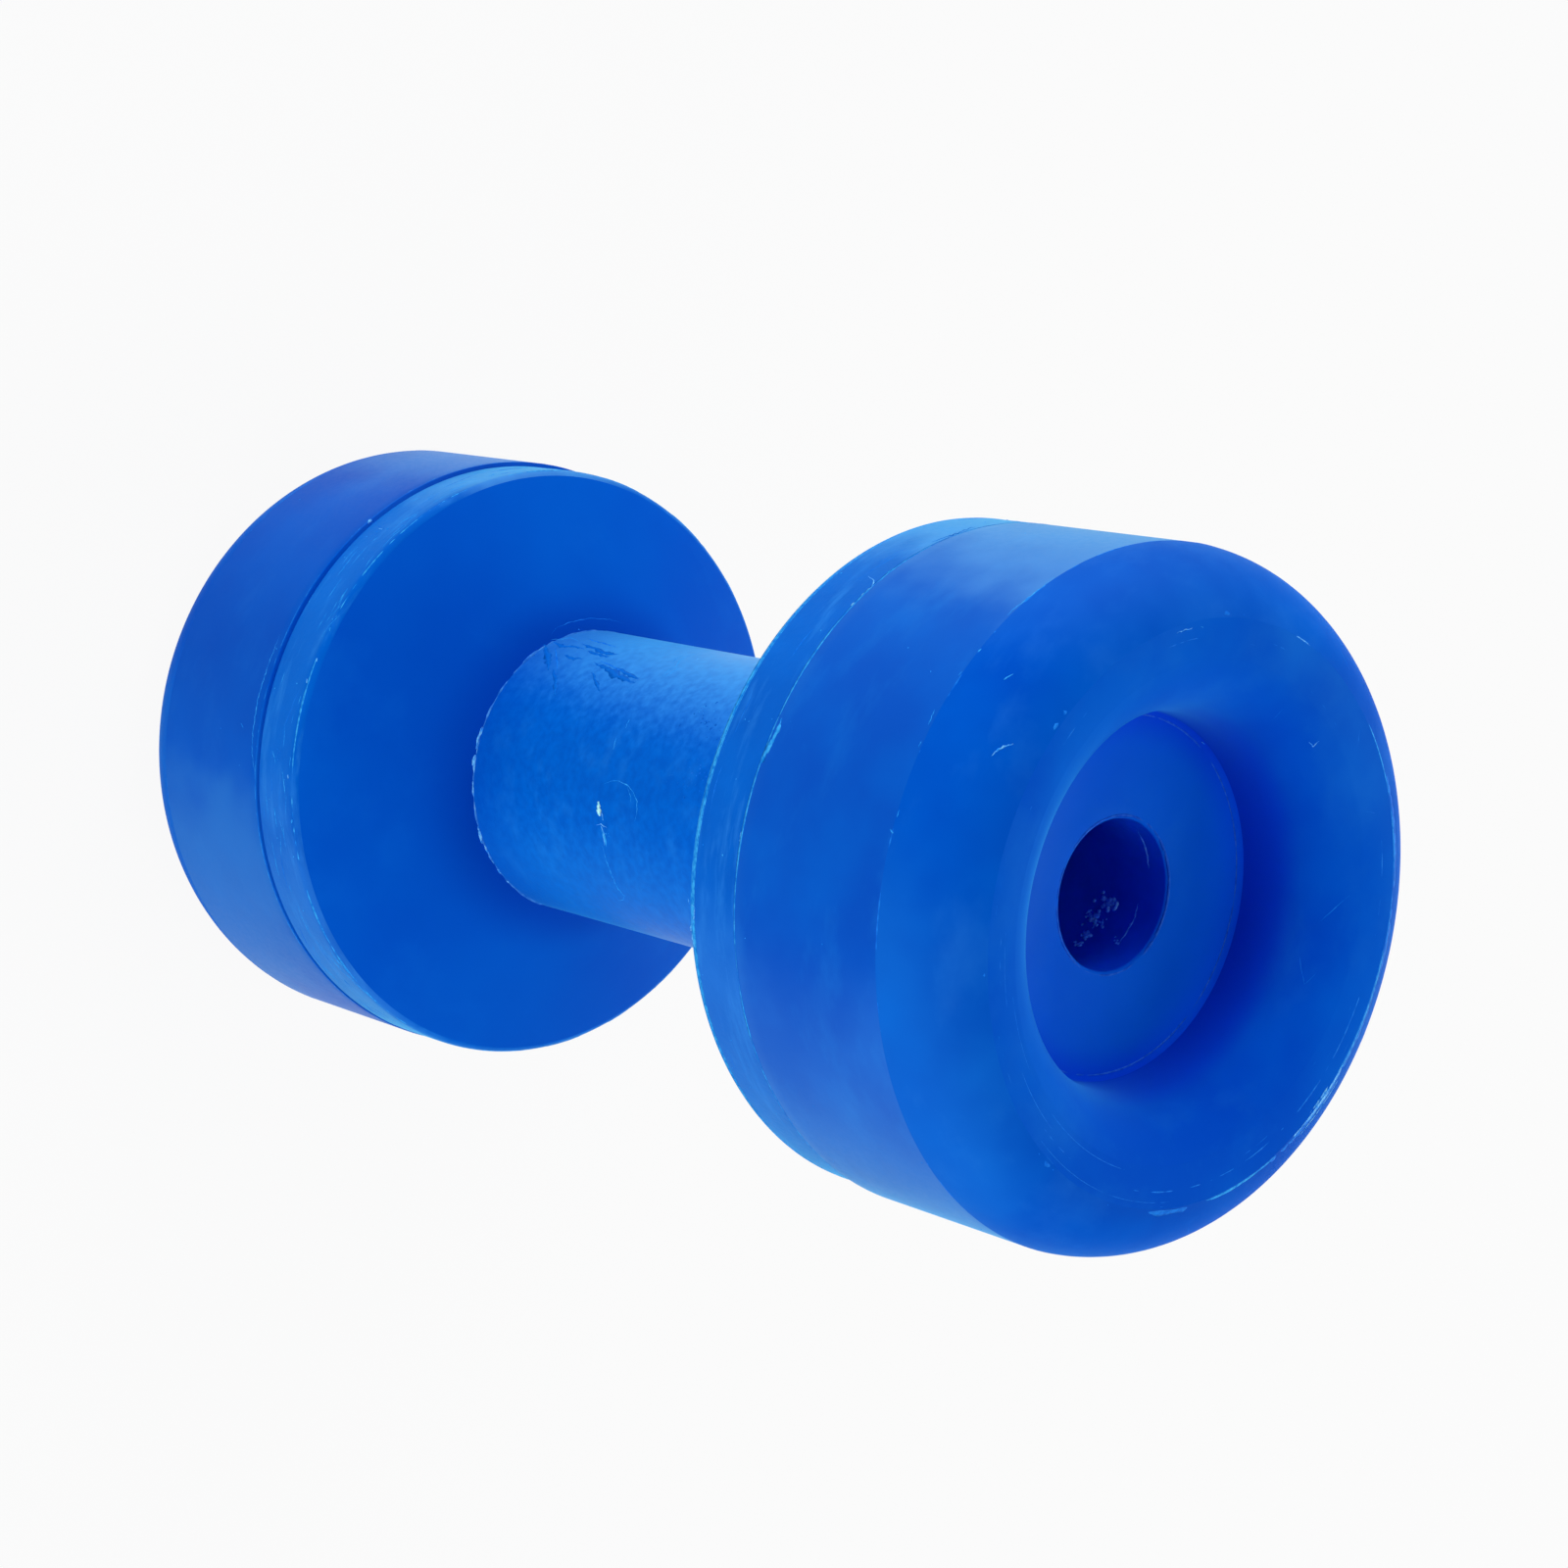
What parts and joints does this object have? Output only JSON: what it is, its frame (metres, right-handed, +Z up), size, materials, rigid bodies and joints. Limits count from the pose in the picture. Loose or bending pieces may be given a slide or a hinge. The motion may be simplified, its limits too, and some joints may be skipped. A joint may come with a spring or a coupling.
{
  "type": "boat trailer roller",
  "caption": "Dumbbell-shaped boat trailer roller moulded in one piece, with a narrow waist for the keel, two dished heads and an axle bore right through.",
  "frame": {"origin": "centre of the circle on which the roller stands, at the crest of its lower rim, on the axle line", "axes": "+Z runs up the axle bore from the lower head to the upper head; the roller is the same all round, apart from the moulding gate on the shaft, which faces -Y turned 12 degrees towards +X"},
  "size_m": [0.0758, 0.0758, 0.15],
  "materials": {
    "blue_moulding": "satin, as moulded"
  },
  "bodies": {
    "root": {"roller": "blue_moulding"}
  },
  "joints": []
}
